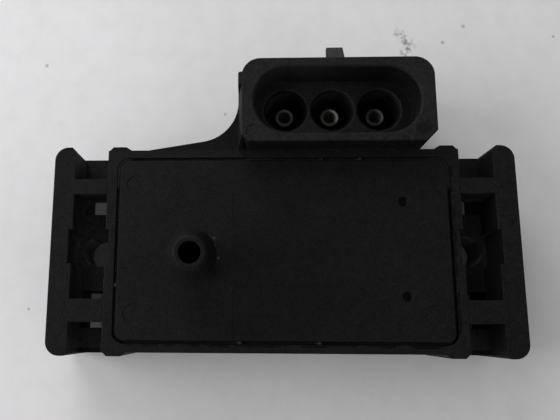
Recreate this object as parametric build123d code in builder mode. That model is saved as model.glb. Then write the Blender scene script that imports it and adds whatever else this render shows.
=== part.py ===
"""Manifold pressure sensor: moulded body with two screw ears, hose nipple and three-pin connector.

It lies on its back. X runs along the body, Y points to the connector side, and Z points out of
the front, the way the nipple and the connector open. The origin is the middle of the back face.
"""
from build123d import *
import os

os.makedirs("parts", exist_ok=True)

# Body and ears
body_length = 48.8
body_width = 27.9
body_height = 12.5
ear_reach = 7.6
end_plate = 3.0
end_plate_corner = 1.9
end_plate_chamfer = 0.6
foot_height = 6.3
foot_rise = 0.25
edge_round = 0.15

# Corner lugs that stand a little proud of the body's long sides
lug_length = 2.5
lug_rise = 0.5
lug_slope = 0.8
lug_chamfer = 0.7

# Bridge ribs between body and end plate, and the slots cored through the foot below them
upper_rib_y = 8.7
upper_rib_width = 2.15
lower_rib_y = -8.4
lower_rib_width = 3.05
slot_width = 5.2
slot_shift = 0.3

# Screw holes through the feet, with relief notches in the walls beside them
screw_hole_radius = 2.25
screw_y = 0.3
notch_width = 4.7
notch_depth = 0.5

# Rim around the cover, and the room inside
rim_end = 1.4
rim_side = 1.15
cover_thickness = 2.0
cover_corner = 1.2
cover_edge_round = 0.15
seam_gap = 0.4
seam_depth = 0.7
seal_thickness = 0.3
ledge_width = 0.9
room_corner = 1.0
floor_thickness = 2.2

# Hose nipple on the cover
nipple_inset = 10.75
nipple_y = -1.65
nipple_height = 9.4
nipple_bore_radius = 1.4
nipple_tip_radius = 1.95
nipple_tip_round = 0.2
nipple_barb_radius = 3.2
nipple_barb_length = 3.0
nipple_barb_land = 0.8
nipple_neck_radius = 2.4
nipple_base_fillet = 0.5

# Small marks on the cover's face
blind_hole_radius = 0.7
blind_hole_depth = 1.1
blind_hole_inset = 6.1
blind_hole_y = 6.45
ejector_radius = 1.4
ejector_depth = 0.05
ejector_inset_x = 2.4
ejector_inset_y = 3.5

# Connector tower
tower_x = 7.52
tower_length = 26.15
tower_depth = 11.9
tower_height = 16.6
tower_round = 2.6
tower_left_chamfer = 0.95
tower_right_chamfer = 1.45
tower_mark_radius = 0.8
tower_mark_rise = 1.45
left_mark_inset = 1.4
right_mark_inset = 2.05
socket_shift_x = -0.14
socket_shift_y = -0.1
socket_end_wall = 1.825
socket_side_wall = 1.3
socket_end_flat = 0.3
socket_depth = 5.3
socket_chamfer = 0.25

# Shallow coring in the back of the tower
core_end_wall = 3.0
core_side_wall = 2.75
core_corner = 1.0
core_depth = 1.0

# Terminal wells and pins
pin_inset = 4.6
pin_shift = 0.3
well_web = 1.05
well_cone_rise = 0.45
well_cone_depth = 0.5
well_floor = 3.6
pin_radius = 1.38
pin_wall = 0.54
pin_tip_z = 8.1
pin_tip_round = 0.12
lead_width = 2.0
lead_thickness = 0.6
lead_reach = 1.9

# Locking ramp on the tower's outer side
latch_x = 7.7
latch_width = 2.3
latch_height = 3.05
latch_land = 0.8
latch_top_drop = 1.4
latch_ramp_length = 2.2

# Keying rib down the tower's left wall, and the drafted web that runs from it to the body
key_reach = 0.47
key_width = 1.9
key_inset = 1.95
key_round = 0.35
web_crest = 0.15
web_end_run = 1.0

# Gusset between the body and the tower
gusset_run = 12.9
gusset_knee_run = 5.4
gusset_knee_rise = 1.21
gusset_strip_length = 1.05
gusset_thickness = 4.0

# Hybrid circuit on the floor of the body
adhesive_thickness = 0.2
adhesive_radius = 2.2
adhesive_inset = 3.5
substrate_margin_x = 3.7
substrate_margin_y = 2.5
substrate_thickness = 0.8
substrate_x = -1.0
substrate_y = -0.6
film_thickness = 0.06

# Pads, ribbons and sealant at the terminals
pad_length = 1.4
pad_width = 1.8
pad_inset = 0.5
ribbon_width = 0.8
ribbon_thickness = 0.15
ribbon_foot = 0.5
ribbon_rise = 0.8
sealant_height = 1.7
sealant_depth = 0.7
sealant_overhang = 1.1
sealant_round = 0.4

# Pressure cell
cell_radius = 3.7
cell_wall = 1.0
cell_height = 3.2
attach_thickness = 0.1
chip_side = 2.4
pedestal_thickness = 1.2
die_thickness = 0.4
diaphragm_side = 1.2
diaphragm_depth = 0.34
wire_width = 0.12
wire_thickness = 0.06
wire_foot = 0.25
wire_run = 1.45
wire_rise = 0.35
wire_pitch = 1.2
wire_pad = 0.4
gel_cover = 0.6

# Port seal, squeezed between the cell's rim and the boss under the cover
seal_height = 0.8
port_seal_width = 1.2
port_seal_chamfer = 0.25
skirt_wall = 0.9
skirt_clearance = 0.3
skirt_overlap = 1.2

# Amplifier chip, capacitors and trimmed resistors
amplifier_x = 1.5
amplifier_y = -1.0
amplifier_length = 3.6
amplifier_width = 2.8
amplifier_thickness = 0.5
bump_radius = 0.14
bump_height = 0.12
bump_pitch = 0.9
capacitor_length = 2.0
capacitor_width = 1.25
capacitor_height = 0.8
capacitor_drop = 3.0
land_length = 0.6
land_thickness = 0.08
resistor_length = 2.4
resistor_width = 1.2
resistor_pitch_x = 3.4
resistor_pitch_y = 2.6
resistor_inset_x = 5.8
resistor_inset_y = 5.0
trim_cut = 0.15
trim_length = 0.7

# Places worked out from the sizes above
half_body = body_length / 2
half_width = body_width / 2
ear_width = body_width + 2 * lug_rise
foot_width = body_width + 2 * foot_rise
ear_gap = ear_reach - end_plate
plate_inner_x = half_body + ear_gap
plate_outer_x = half_body + ear_reach
ear_x = half_body + ear_gap / 2
cover_length = body_length - 2 * (rim_end + seam_gap)
cover_width = body_width - 2 * (rim_side + seam_gap)
cover_bottom = body_height - cover_thickness
ledge_z = cover_bottom - seal_thickness
recess_length = cover_length + 2 * seam_gap
recess_width = cover_width + 2 * seam_gap
room_length = cover_length - 2 * ledge_width
room_width = cover_width - 2 * ledge_width
nipple_x = nipple_inset - cover_length / 2
blind_hole_x = cover_length / 2 - blind_hole_inset
ejector_x = cover_length / 2 - ejector_inset_x
ejector_y = cover_width / 2 - ejector_inset_y
tower_y = half_width + tower_depth / 2
tower_outer_y = half_width + tower_depth
tower_left_x = tower_x - tower_length / 2
tower_right_x = tower_x + tower_length / 2
key_start_y = tower_outer_y - key_inset - key_width
gusset_start_x = tower_left_x - gusset_run
socket_x = tower_x + socket_shift_x
socket_y = tower_y + socket_shift_y
socket_length = tower_length - 2 * socket_end_wall
socket_width = tower_depth - 2 * socket_side_wall
socket_round = (socket_width - socket_end_flat) / 2
core_length = tower_length - 2 * core_end_wall
core_width = tower_depth - 2 * core_side_wall
socket_floor = tower_height - socket_depth
well_rim = socket_floor - well_cone_depth
pin_y = socket_y + pin_shift
pin_pitch = socket_length / 2 - pin_inset
pin_xs = [socket_x + step * pin_pitch for step in (-1, 0, 1)]
well_radius = (pin_pitch - well_web) / 2
well_cone_radius = well_radius + well_cone_rise
sealant_length = 2 * (pin_pitch + sealant_overhang) + lead_width
lead_bottom = floor_thickness
lead_top = lead_bottom + lead_thickness
lead_end_y = room_width / 2 - lead_reach
substrate_length = room_length - 2 * substrate_margin_x
substrate_width = room_width - 2 * substrate_margin_y
resistor_x = substrate_x + substrate_length / 2 - resistor_inset_x
resistor_y = substrate_y - substrate_width / 2 + resistor_inset_y
substrate_bottom = floor_thickness + adhesive_thickness
substrate_top = substrate_bottom + substrate_thickness
film_top = substrate_top + film_thickness
pad_y = substrate_y + substrate_width / 2 - pad_inset - pad_length / 2
cell_top = substrate_top + cell_height
pedestal_bottom = substrate_top + attach_thickness
die_bottom = pedestal_bottom + pedestal_thickness
die_top = die_bottom + die_thickness
boss_bottom = cell_top + seal_height
boss_radius = cell_radius + skirt_clearance + skirt_wall
nipple_top = body_height + nipple_height
barb_bottom = nipple_top - nipple_barb_length
barb_undercut = nipple_barb_radius - nipple_neck_radius


def ribbon_outline(run, drop, rise, foot, thickness):
    """Side of a bonded ribbon: a foot, a loop that climbs and comes down, and a lower foot."""
    with BuildSketch() as outline:
        with BuildLine():
            FilletPolyline(
                (0, 0),
                (foot, 0),
                (foot + rise, rise),
                (run - foot, -drop),
                (run, -drop),
                radius=1.5 * thickness,
            )
            offset(amount=thickness, side=Side.LEFT)
        make_face()
    return outline.sketch


# Terminals: a rolled tube pin on a square neck, and a flat lead that runs into the room
terminals = {}
for terminal_name, pin_x in zip(("terminal_supply", "terminal_signal", "terminal_ground"), pin_xs):
    lead_tail_y = pin_y + lead_width / 2
    with BuildPart() as terminal:
        with BuildSketch(Plane.XY.offset(lead_bottom)):
            with Locations((pin_x, (lead_tail_y + lead_end_y) / 2)):
                Rectangle(lead_width, lead_tail_y - lead_end_y)
        extrude(amount=lead_thickness)
        with BuildSketch(Plane.XY.offset(lead_top)):
            with Locations((pin_x, pin_y)):
                Rectangle(lead_width, lead_width)
        extrude(amount=well_floor - lead_top)
        with BuildSketch(Plane.XY.offset(well_floor)):
            with Locations((pin_x, pin_y)):
                Circle(pin_radius)
        extrude(amount=pin_tip_z - well_floor)
        fillet(terminal.edges().group_by(Axis.Z)[-1], pin_tip_round)
        with BuildSketch(Plane.XY.offset(well_floor)):
            with Locations((pin_x, pin_y)):
                Circle(pin_radius - pin_wall)
        extrude(amount=pin_tip_z - well_floor, mode=Mode.SUBTRACT)
    terminals[terminal_name] = terminal
    terminal.part.label = terminal_name
    export_step(terminal.part, f"parts/{terminal_name}.step")

# Housing: body, ears, gusset and connector tower moulded as one piece
with BuildPart() as housing:
    # Body block with a lug at each corner
    with BuildSketch():
        Rectangle(body_length, body_width)
        with BuildLine():
            Polyline(
                (half_body, 0),
                (half_body, ear_width / 2 - lug_chamfer),
                (half_body - lug_chamfer, ear_width / 2),
                (half_body - lug_length, ear_width / 2),
                (half_body - lug_length - lug_slope, half_width),
                (half_body - lug_length - lug_slope, 0),
                close=True,
            )
        make_face()
        mirror(about=Plane.YZ)
        mirror(about=Plane.XZ)
    extrude(amount=body_height)
    fillet(housing.faces().sort_by(Axis.Z)[-1].edges(), edge_round)

    # End plates of the two ears
    with BuildSketch() as plates:
        with BuildLine():
            Polyline(
                (plate_inner_x, -foot_width / 2),
                (plate_inner_x + end_plate_chamfer, -ear_width / 2),
                (plate_outer_x, -ear_width / 2),
                (plate_outer_x, ear_width / 2),
                (plate_inner_x + end_plate_chamfer, ear_width / 2),
                (plate_inner_x, ear_width / 2 - end_plate_chamfer),
                close=True,
            )
        make_face()
        fillet(plates.vertices().group_by(Axis.X)[-1], end_plate_corner)
        mirror(about=Plane.YZ)
    extrude(amount=body_height)
    plate_tops = housing.faces().filter_by(Plane.XY).sort_by(Axis.Z)[-3:]
    plate_top_edges = plate_tops.edges().filter_by(lambda edge: abs(edge.center().X) > plate_inner_x)
    fillet(plate_top_edges, edge_round)

    # Feet, and the ribs that bridge to the end plates above them
    with BuildSketch():
        with Locations((ear_x, 0), (-ear_x, 0)):
            Rectangle(ear_gap + 2 * end_plate_chamfer, foot_width)
    extrude(amount=foot_height)
    with BuildSketch(Plane.XY.offset(foot_height)):
        with Locations((ear_x, upper_rib_y), (-ear_x, upper_rib_y)):
            Rectangle(ear_gap, upper_rib_width)
        with Locations((ear_x, lower_rib_y), (-ear_x, lower_rib_y)):
            Rectangle(ear_gap, lower_rib_width)
    extrude(amount=body_height - foot_height)

    # Slots through the feet, screw holes and the relief notches beside the screws
    with BuildSketch():
        for side_x in (ear_x, -ear_x):
            with Locations((side_x, upper_rib_y - slot_shift), (side_x, lower_rib_y + slot_shift)):
                Rectangle(ear_gap, slot_width)
            with Locations((side_x, screw_y)):
                Circle(screw_hole_radius)
    extrude(amount=foot_height, mode=Mode.SUBTRACT)
    with BuildSketch(Plane.XY.offset(foot_height)):
        with Locations((ear_x, screw_y), (-ear_x, screw_y)):
            Rectangle(ear_gap + 2 * notch_depth, notch_width)
    extrude(amount=body_height - foot_height, mode=Mode.SUBTRACT)

    # Connector tower, standing against the body's long side
    with BuildSketch() as tower_outline:
        with Locations((tower_x, tower_y)):
            Rectangle(tower_length, tower_depth)
        fillet(tower_outline.vertices().group_by(Axis.Y)[-1], tower_round)
        left_corner = tower_outline.vertices().group_by(Axis.Y)[0].sort_by(Axis.X)[0]
        chamfer(left_corner, tower_left_chamfer)
        right_corner = tower_outline.vertices().group_by(Axis.Y)[0].sort_by(Axis.X)[-1]
        chamfer(right_corner, tower_right_chamfer)
        with Locations((tower_left_x - key_reach, key_start_y)):
            Rectangle(2 * key_reach, key_width, align=(Align.MIN, Align.MIN))
        key_corner = tower_outline.vertices().group_by(Axis.X)[0].sort_by(Axis.Y)[-1]
        fillet(key_corner, key_round)
    extrude(amount=tower_height)
    fillet(housing.faces().sort_by(Axis.Z)[-1].edges(), edge_round)
    join_left_x = tower_left_x + tower_left_chamfer
    join_right_x = tower_right_x - tower_right_chamfer
    with BuildSketch():
        with Locations(((join_left_x + join_right_x) / 2, half_width)):
            Rectangle(join_right_x - join_left_x, 2 * edge_round)
    extrude(amount=body_height)

    # Gusset from the body's long side up the tower's left wall
    with BuildSketch(Plane.XY.offset(body_height - gusset_thickness)):
        with BuildLine():
            knee = (tower_left_x - gusset_knee_run, half_width + gusset_knee_rise)
            bend = (tower_left_x - key_reach, key_start_y - gusset_strip_length)
            slope = Line((gusset_start_x, half_width), knee)
            TangentArc(knee, bend, tangent=slope % 1)
            Polyline(
                bend,
                (tower_left_x - key_reach, key_start_y),
                (join_left_x, key_start_y),
                (join_left_x, half_width - edge_round),
                (gusset_start_x, half_width - edge_round),
                (gusset_start_x, half_width),
            )
        make_face()
    extrude(amount=gusset_thickness)

    # Web up the tower's left wall, wide on the gusset and thin at the tower's face
    web_length = key_start_y - half_width
    with BuildSketch(Plane.XY.offset(body_height)):
        with Locations((tower_left_x - key_reach, half_width)):
            Rectangle(key_reach + web_crest, web_length, align=(Align.MIN, Align.MIN))
    with BuildSketch(Plane.XY.offset(tower_height - edge_round)):
        with Locations((tower_left_x, half_width + web_end_run)):
            Rectangle(web_crest, web_length - web_end_run, align=(Align.MIN, Align.MIN))
    loft(ruled=True)

    # Locking ramp for the plug
    with BuildSketch(Plane.YZ.offset(latch_x - latch_width / 2)):
        with BuildLine():
            ramp_top = tower_height - latch_top_drop
            land_top = ramp_top - latch_ramp_length
            Polyline(
                (tower_outer_y - edge_round, ramp_top),
                (tower_outer_y, ramp_top),
                (tower_outer_y + latch_height, land_top),
                (tower_outer_y + latch_height, land_top - latch_land),
                (tower_outer_y - edge_round, land_top - latch_land),
                close=True,
            )
        make_face()
    extrude(amount=latch_width)

    # Socket for the plug, with a wide mouth and three wells for the pins
    with BuildSketch(Plane.XY.offset(socket_floor)):
        with Locations((socket_x, socket_y)):
            RectangleRounded(socket_length, socket_width, socket_round)
    extrude(amount=socket_depth, mode=Mode.SUBTRACT)
    chamfer(housing.faces().sort_by(Axis.Z)[-1].inner_wires()[0].edges(), socket_chamfer)
    with Locations([(pin_x, pin_y, well_rim) for pin_x in pin_xs]):
        Cone(
            bottom_radius=well_radius,
            top_radius=well_cone_radius,
            height=well_cone_depth,
            align=(Align.CENTER, Align.CENTER, Align.MIN),
            mode=Mode.SUBTRACT,
        )
    with BuildSketch(Plane.XY.offset(well_floor)):
        with Locations([(pin_x, pin_y) for pin_x in pin_xs]):
            Circle(well_radius)
    extrude(amount=well_rim - well_floor, mode=Mode.SUBTRACT)

    # Ejector marks on the tower's face, and the coring in its back
    with BuildSketch(Plane.XY.offset(tower_height - ejector_depth)):
        with Locations(
            (tower_left_x + left_mark_inset, half_width + tower_mark_rise),
            (tower_right_x - right_mark_inset, half_width + tower_mark_rise),
        ):
            Circle(tower_mark_radius)
    extrude(amount=ejector_depth, mode=Mode.SUBTRACT)
    with BuildSketch():
        with Locations((tower_x, tower_y)):
            RectangleRounded(core_length, core_width, core_corner)
    extrude(amount=core_depth, mode=Mode.SUBTRACT)

    # Recess for the cover, its ledge, and the room below
    with BuildSketch(Plane.XY.offset(ledge_z)):
        RectangleRounded(recess_length, recess_width, cover_corner + seam_gap)
    extrude(amount=body_height - ledge_z, mode=Mode.SUBTRACT)
    with BuildSketch(Plane.XY.offset(floor_thickness)):
        RectangleRounded(room_length, room_width, room_corner)
    extrude(amount=ledge_z - floor_thickness, mode=Mode.SUBTRACT)

    # The terminals are moulded in
    for terminal in terminals.values():
        add(terminal.part, mode=Mode.SUBTRACT)
housing.part.label = "housing"
export_step(housing.part, "parts/housing.step")

# Front cover with the hose nipple, and the boss that presses on the port seal
nipple_plane = Plane(origin=(nipple_x, nipple_y, 0), x_dir=(1, 0, 0), z_dir=(0, -1, 0))
nipple_axis = Axis((nipple_x, nipple_y, 0), (0, 0, 1))
with BuildPart() as front_cover:
    with BuildSketch(Plane.XY.offset(cover_bottom)):
        RectangleRounded(cover_length, cover_width, cover_corner)
    extrude(amount=cover_thickness)
    fillet(front_cover.faces().sort_by(Axis.Z)[-1].edges(), cover_edge_round)
    with BuildSketch(Plane.XY.offset(cover_bottom)):
        with Locations((nipple_x, nipple_y)):
            Circle(boss_radius)
    extrude(amount=boss_bottom - cover_bottom)
    with BuildSketch(Plane.XY.offset(boss_bottom)):
        with Locations((nipple_x, nipple_y)):
            Circle(boss_radius)
            Circle(cell_radius + skirt_clearance, mode=Mode.SUBTRACT)
    extrude(amount=-(seal_height + skirt_overlap))
    with BuildSketch(nipple_plane) as nipple_outline:
        with BuildLine():
            foot_start = (nipple_neck_radius, body_height + nipple_base_fillet)
            foot_end = (nipple_neck_radius + nipple_base_fillet, body_height)
            barb = Polyline(
                (0, nipple_top),
                (nipple_tip_radius, nipple_top),
                (nipple_barb_radius, barb_bottom + nipple_barb_land),
                (nipple_barb_radius, barb_bottom),
                (nipple_neck_radius, barb_bottom - barb_undercut),
                foot_start,
            )
            TangentArc(foot_start, foot_end, tangent=(0, -1))
            Polyline(foot_end, (foot_end[0], cover_bottom), (0, cover_bottom), barb @ 0)
        make_face()
        tip = nipple_outline.vertices().group_by(Axis.Y)[-1].sort_by(Axis.X)[-1]
        fillet(tip, nipple_tip_round)
    revolve(axis=nipple_axis)
    with Locations((nipple_x, nipple_y, nipple_top)):
        Hole(nipple_bore_radius, depth=nipple_top - boss_bottom)
    with Locations(
        (blind_hole_x, blind_hole_y, body_height),
        (blind_hole_x, -blind_hole_y, body_height),
    ):
        Hole(blind_hole_radius, depth=blind_hole_depth)
    with Locations(Plane.XY.offset(body_height)):
        with GridLocations(2 * ejector_x, 2 * ejector_y, 2, 2):
            Hole(ejector_radius, depth=ejector_depth)
front_cover.part.label = "front_cover"
export_step(front_cover.part, "parts/front_cover.step")

# Silicone bead that seats and seals the cover
with BuildPart() as cover_seal:
    with BuildSketch(Plane.XY.offset(ledge_z)):
        RectangleRounded(recess_length, recess_width, cover_corner + seam_gap)
        RectangleRounded(room_length, room_width, room_corner, mode=Mode.SUBTRACT)
    extrude(amount=seal_thickness)
    with BuildSketch(Plane.XY.offset(cover_bottom)):
        RectangleRounded(recess_length, recess_width, cover_corner + seam_gap)
        RectangleRounded(cover_length, cover_width, cover_corner, mode=Mode.SUBTRACT)
    extrude(amount=cover_thickness - seam_depth)
cover_seal.part.label = "cover_seal"
export_step(cover_seal.part, "parts/cover_seal.step")

# Sealant where the leads come through the wall
with BuildPart() as terminal_sealant:
    with BuildSketch(Plane.XY.offset(floor_thickness)):
        with Locations((socket_x, (room_width - sealant_depth) / 2)):
            Rectangle(sealant_length, sealant_depth)
    extrude(amount=sealant_height)
    top_edges = terminal_sealant.edges().group_by(Axis.Z)[-1]
    fillet(top_edges.sort_by(Axis.Y)[0], sealant_round)
    for terminal in terminals.values():
        add(terminal.part, mode=Mode.SUBTRACT)
terminal_sealant.part.label = "terminal_sealant"
export_step(terminal_sealant.part, "parts/terminal_sealant.step")

# Adhesive dots, one near each corner of the ceramic and one under the pressure cell
with BuildPart() as substrate_adhesive:
    with BuildSketch(Plane.XY.offset(floor_thickness)):
        with Locations((substrate_x, substrate_y)):
            with GridLocations(
                substrate_length - 2 * adhesive_inset,
                substrate_width - 2 * adhesive_inset,
                2,
                2,
            ):
                Circle(adhesive_radius)
        with Locations((nipple_x, nipple_y)):
            Circle(adhesive_radius)
    extrude(amount=adhesive_thickness)
substrate_adhesive.part.label = "substrate_adhesive"
export_step(substrate_adhesive.part, "parts/substrate_adhesive.step")

# Ceramic plate that carries the circuit
with BuildPart() as ceramic_substrate:
    with BuildSketch(Plane.XY.offset(substrate_bottom)):
        with Locations((substrate_x, substrate_y)):
            Rectangle(substrate_length, substrate_width)
    extrude(amount=substrate_thickness)
ceramic_substrate.part.label = "ceramic_substrate"
export_step(ceramic_substrate.part, "parts/ceramic_substrate.step")

# Printed bond pads, three for the terminals and four inside the pressure cell
wire_pad_x = chip_side / 2 - wire_foot + wire_run - wire_foot / 2
with BuildPart() as bond_pads:
    with BuildSketch(Plane.XY.offset(substrate_top)):
        with Locations([(pin_x, pad_y) for pin_x in pin_xs]):
            Rectangle(pad_width, pad_length)
        with Locations((nipple_x, nipple_y)):
            with GridLocations(2 * wire_pad_x, wire_pitch, 2, 2):
                Rectangle(wire_pad, wire_pad)
    extrude(amount=film_thickness)
bond_pads.part.label = "bond_pads"
export_step(bond_pads.part, "parts/bond_pads.step")

# Ribbons from the leads down to the pads
ribbon_run = lead_end_y + ribbon_foot - pad_y
with BuildPart() as terminal_ribbons:
    for pin_x in pin_xs:
        ribbon_plane = Plane(
            origin=(pin_x - ribbon_width / 2, lead_end_y + ribbon_foot, lead_top),
            x_dir=(0, -1, 0),
            z_dir=(-1, 0, 0),
        )
        with BuildSketch(ribbon_plane):
            drop = lead_top - film_top
            add(ribbon_outline(ribbon_run, drop, ribbon_rise, ribbon_foot, ribbon_thickness))
        extrude(amount=-ribbon_width)
terminal_ribbons.part.label = "terminal_ribbons"
export_step(terminal_ribbons.part, "parts/terminal_ribbons.step")

# Rim of the pressure cell
with BuildPart() as cell_rim:
    with BuildSketch(Plane.XY.offset(substrate_top)):
        with Locations((nipple_x, nipple_y)):
            Circle(cell_radius)
            Circle(cell_radius - cell_wall, mode=Mode.SUBTRACT)
    extrude(amount=cell_height)
cell_rim.part.label = "cell_rim"
export_step(cell_rim.part, "parts/cell_rim.step")

# Adhesive, glass pedestal and silicon die, stacked under the port
with BuildPart() as die_attach:
    with BuildSketch(Plane.XY.offset(substrate_top)):
        with Locations((nipple_x, nipple_y)):
            Rectangle(chip_side, chip_side)
    extrude(amount=attach_thickness)
die_attach.part.label = "die_attach"
export_step(die_attach.part, "parts/die_attach.step")

with BuildPart() as glass_pedestal:
    with BuildSketch(Plane.XY.offset(pedestal_bottom)):
        with Locations((nipple_x, nipple_y)):
            Rectangle(chip_side, chip_side)
    extrude(amount=pedestal_thickness)
glass_pedestal.part.label = "glass_pedestal"
export_step(glass_pedestal.part, "parts/glass_pedestal.step")

with BuildPart() as sensor_die:
    with BuildSketch(Plane.XY.offset(die_bottom)):
        with Locations((nipple_x, nipple_y)):
            Rectangle(chip_side, chip_side)
    extrude(amount=die_thickness)
    with BuildSketch(Plane.XY.offset(die_bottom)):
        with Locations((nipple_x, nipple_y)):
            Rectangle(diaphragm_side, diaphragm_side)
    extrude(amount=diaphragm_depth, mode=Mode.SUBTRACT)
sensor_die.part.label = "sensor_die"
export_step(sensor_die.part, "parts/sensor_die.step")

# Fine bond wires from the die to its four pads
with BuildPart() as die_wires:
    for side in (-1, 1):
        for row in (-1, 1):
            wire_y = nipple_y + row * wire_pitch / 2
            wire_plane = Plane(
                origin=(
                    nipple_x + side * (chip_side / 2 - wire_foot),
                    wire_y - side * wire_width / 2,
                    die_top,
                ),
                x_dir=(side, 0, 0),
                z_dir=(0, -side, 0),
            )
            with BuildSketch(wire_plane):
                drop = die_top - film_top
                add(ribbon_outline(wire_run, drop, wire_rise, wire_foot, wire_thickness))
            extrude(amount=-wire_width)
die_wires.part.label = "die_wires"
export_step(die_wires.part, "parts/die_wires.step")

# Soft gel that covers the die and its wires
with BuildPart() as cell_gel:
    with BuildSketch(Plane.XY.offset(substrate_top)):
        with Locations((nipple_x, nipple_y)):
            Circle(cell_radius - cell_wall)
    extrude(amount=die_top - substrate_top + gel_cover)
    with BuildSketch(Plane.XY.offset(substrate_top)):
        with Locations((nipple_x, nipple_y)):
            Rectangle(chip_side, chip_side)
    extrude(amount=die_top - substrate_top, mode=Mode.SUBTRACT)
    add(die_wires.part, mode=Mode.SUBTRACT)
    add(bond_pads.part, mode=Mode.SUBTRACT)
cell_gel.part.label = "cell_gel"
export_step(cell_gel.part, "parts/cell_gel.step")

# Port seal, a rubber ring with flattened faces
with BuildPart() as port_seal:
    with BuildSketch(nipple_plane) as seal_outline:
        with Locations((cell_radius - port_seal_width / 2, cell_top + seal_height / 2)):
            Rectangle(port_seal_width, seal_height)
        chamfer(seal_outline.vertices(), port_seal_chamfer)
    revolve(axis=nipple_axis)
port_seal.part.label = "port_seal"
export_step(port_seal.part, "parts/port_seal.step")

# Amplifier chip on its solder bumps
with BuildPart() as chip_bumps:
    with BuildSketch(Plane.XY.offset(substrate_top)):
        with Locations((amplifier_x, amplifier_y)):
            with GridLocations(bump_pitch, amplifier_width - bump_pitch, 4, 2):
                Circle(bump_radius)
    extrude(amount=bump_height)
chip_bumps.part.label = "chip_bumps"
export_step(chip_bumps.part, "parts/chip_bumps.step")

with BuildPart() as amplifier_chip:
    with BuildSketch(Plane.XY.offset(substrate_top + bump_height)):
        with Locations((amplifier_x, amplifier_y)):
            Rectangle(amplifier_length, amplifier_width)
    extrude(amount=amplifier_thickness)
amplifier_chip.part.label = "amplifier_chip"
export_step(amplifier_chip.part, "parts/amplifier_chip.step")

# Filter capacitors beside the terminal pads, each on two solder lands
capacitor_places = [(pin_x - pin_pitch / 2, pad_y - capacitor_drop) for pin_x in pin_xs]
with BuildPart() as solder_lands:
    with BuildSketch(Plane.XY.offset(substrate_top)):
        with Locations(capacitor_places):
            with GridLocations(capacitor_length - land_length, 0, 2, 1):
                Rectangle(land_length, capacitor_width)
    extrude(amount=land_thickness)
solder_lands.part.label = "solder_lands"
export_step(solder_lands.part, "parts/solder_lands.step")

with BuildPart() as chip_capacitors:
    with BuildSketch(Plane.XY.offset(substrate_top + land_thickness)):
        with Locations(capacitor_places):
            Rectangle(capacitor_length, capacitor_width)
    extrude(amount=capacitor_height)
chip_capacitors.part.label = "chip_capacitors"
export_step(chip_capacitors.part, "parts/chip_capacitors.step")

# Printed resistors, each with a laser trim cut from one side
with BuildPart() as trim_resistors:
    with BuildSketch(Plane.XY.offset(substrate_top)):
        with Locations((resistor_x, resistor_y)):
            with GridLocations(resistor_pitch_x, resistor_pitch_y, 3, 2):
                Rectangle(resistor_length, resistor_width)
            with GridLocations(resistor_pitch_x, resistor_pitch_y, 3, 2):
                with Locations((0, (resistor_width - trim_length) / 2)):
                    Rectangle(trim_cut, trim_length, mode=Mode.SUBTRACT)
    extrude(amount=film_thickness)
trim_resistors.part.label = "trim_resistors"
export_step(trim_resistors.part, "parts/trim_resistors.step")
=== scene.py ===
# %% [markdown] # A manifold pressure sensor and its finishes The sensor is a black moulded box
# with two screw ears, a hose nipple and a three-pin connector. This lesson starts from its CAD
# model and adds what CAD leaves out: the finish of each surface, the uneven bead of sealant, the
# table, the light and the camera. The shapes could be modelled again here, but two models of one
# part drift apart. Lengths are in millimetres, and MM turns them into metres.

# %% Load the CAD model
import math

import bpy
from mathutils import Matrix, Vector


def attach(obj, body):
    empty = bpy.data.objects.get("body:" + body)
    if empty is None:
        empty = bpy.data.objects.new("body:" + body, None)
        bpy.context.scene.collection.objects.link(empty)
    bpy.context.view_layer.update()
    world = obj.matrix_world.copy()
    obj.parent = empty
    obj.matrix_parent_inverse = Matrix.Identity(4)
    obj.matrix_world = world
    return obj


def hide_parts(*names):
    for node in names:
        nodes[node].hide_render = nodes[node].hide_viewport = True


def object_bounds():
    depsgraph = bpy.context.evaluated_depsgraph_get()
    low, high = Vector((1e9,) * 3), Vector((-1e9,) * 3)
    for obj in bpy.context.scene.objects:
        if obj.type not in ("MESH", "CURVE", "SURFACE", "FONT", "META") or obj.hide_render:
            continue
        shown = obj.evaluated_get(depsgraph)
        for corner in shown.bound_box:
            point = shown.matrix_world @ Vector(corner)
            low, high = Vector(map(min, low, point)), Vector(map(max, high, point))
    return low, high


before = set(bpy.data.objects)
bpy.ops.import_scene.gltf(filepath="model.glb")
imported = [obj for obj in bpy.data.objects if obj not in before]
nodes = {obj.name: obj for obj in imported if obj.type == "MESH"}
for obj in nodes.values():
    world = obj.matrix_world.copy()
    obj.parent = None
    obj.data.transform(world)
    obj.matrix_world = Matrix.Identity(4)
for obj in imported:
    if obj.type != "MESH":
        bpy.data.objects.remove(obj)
MM = 0.001
cad_low, cad_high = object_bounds()
print("CAD box in mm:", [round(size / MM, 2) for size in cad_high - cad_low])
print("CAD pieces:", ", ".join(sorted(nodes)))

# %% [markdown]
# ## Where the camera stood
# The photographer held the camera almost straight above the sensor, about ten centimetres up,
# and leaned a little towards the near edge, so the far walls of the pockets show. A close camera
# makes tall parts lean outwards, which is why the connector hides part of its own foot. The
# camera could be placed by eye. Its place and tilt were worked out from corners of the part
# instead, because only then do all edges land where they should at once.

# %% Camera
camera_place = (-4.80, -10.84, 97.26)
camera_angles = (10.81, 2.29, 0.34)
camera_data = bpy.data.cameras.new("camera")
camera = bpy.data.objects.new("camera", camera_data)
bpy.context.scene.collection.objects.link(camera)
bpy.context.scene.camera = camera
camera.location = Vector(camera_place) * MM
camera.rotation_euler = [math.radians(angle) for angle in camera_angles]
camera_data.sensor_width = 36
camera_data.lens = 40.24
camera_data.shift_x = 0.1036
camera_data.clip_start = 1 * MM
camera_data.clip_end = 5000 * MM
print("Camera height in mm:", round(camera.location.z / MM, 1))

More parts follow.
